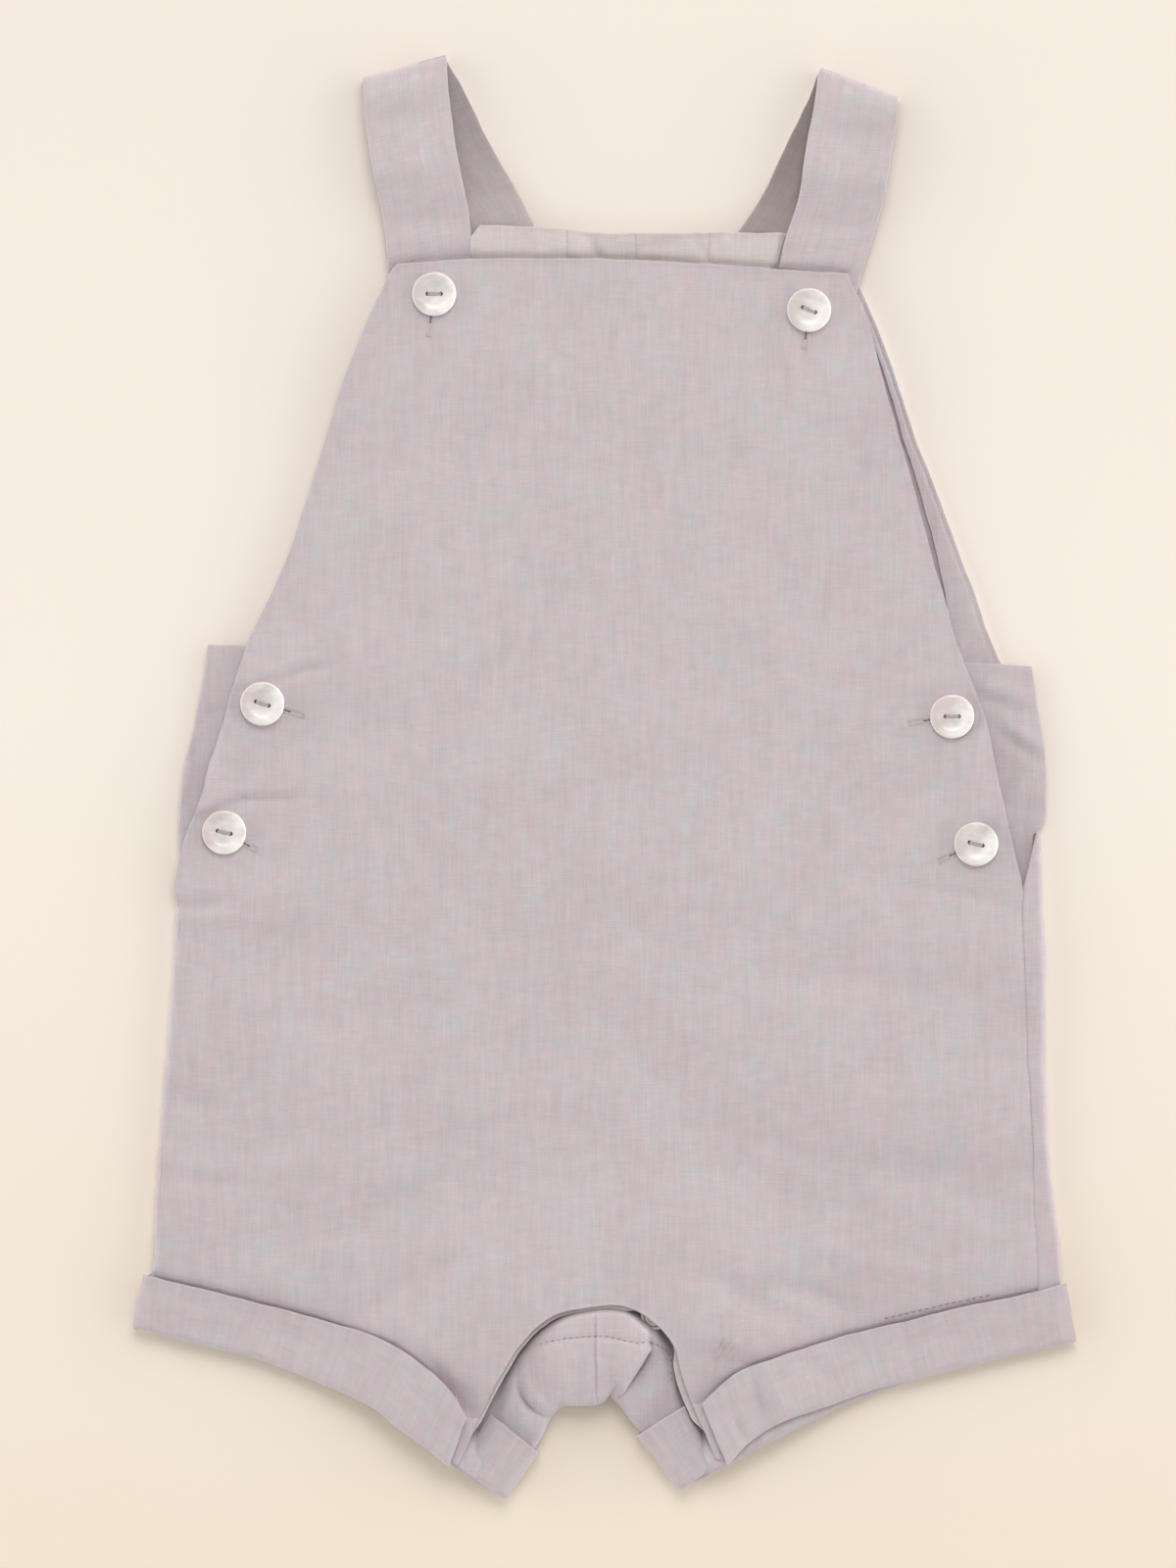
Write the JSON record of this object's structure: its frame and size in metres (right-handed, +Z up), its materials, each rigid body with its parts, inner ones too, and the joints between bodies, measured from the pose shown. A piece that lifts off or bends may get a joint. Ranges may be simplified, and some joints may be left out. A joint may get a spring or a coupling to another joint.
{
  "type": "baby's short dungarees laid flat",
  "caption": "Baby's short linen dungarees laid flat, with folded shoulder straps, buttoned bib and sides, turned-up legs and a snap crotch.",
  "frame": {"origin": "middle of the garment's outline, on the surface it lies on", "axes": "+X to the right as seen from above, +Y towards the straps, +Z up from the surface; the front faces up"},
  "size_m": [0.2603, 0.3973, 0.0095],
  "materials": {
    "linen": "matt pale mauve-grey plain-weave linen",
    "pearl": "polished mother-of-pearl",
    "snap_metal": "bright nickel"
  },
  "bodies": {
    "root": {"front_panel": "linen", "back_panel_left": "linen", "back_panel_right": "linen", "neck_facing": "linen", "armhole_facing_left": "linen", "armhole_facing_right": "linen", "side_tab_left": "linen", "side_tab_right": "linen", "strap_left": "linen", "strap_right": "linen", "front_snap_placket": "linen", "back_snap_placket": "linen", "front_cuff_left": "linen", "front_cuff_right": "linen", "back_cuff_left": "linen", "back_cuff_right": "linen", "button_bib_left": "pearl", "button_bib_right": "pearl", "button_side_left_upper": "pearl", "button_side_left_lower": "pearl", "button_side_right_upper": "pearl", "button_side_right_lower": "pearl", "snap_left": "snap_metal", "snap_centre": "snap_metal", "snap_right": "snap_metal"}
  },
  "joints": []
}
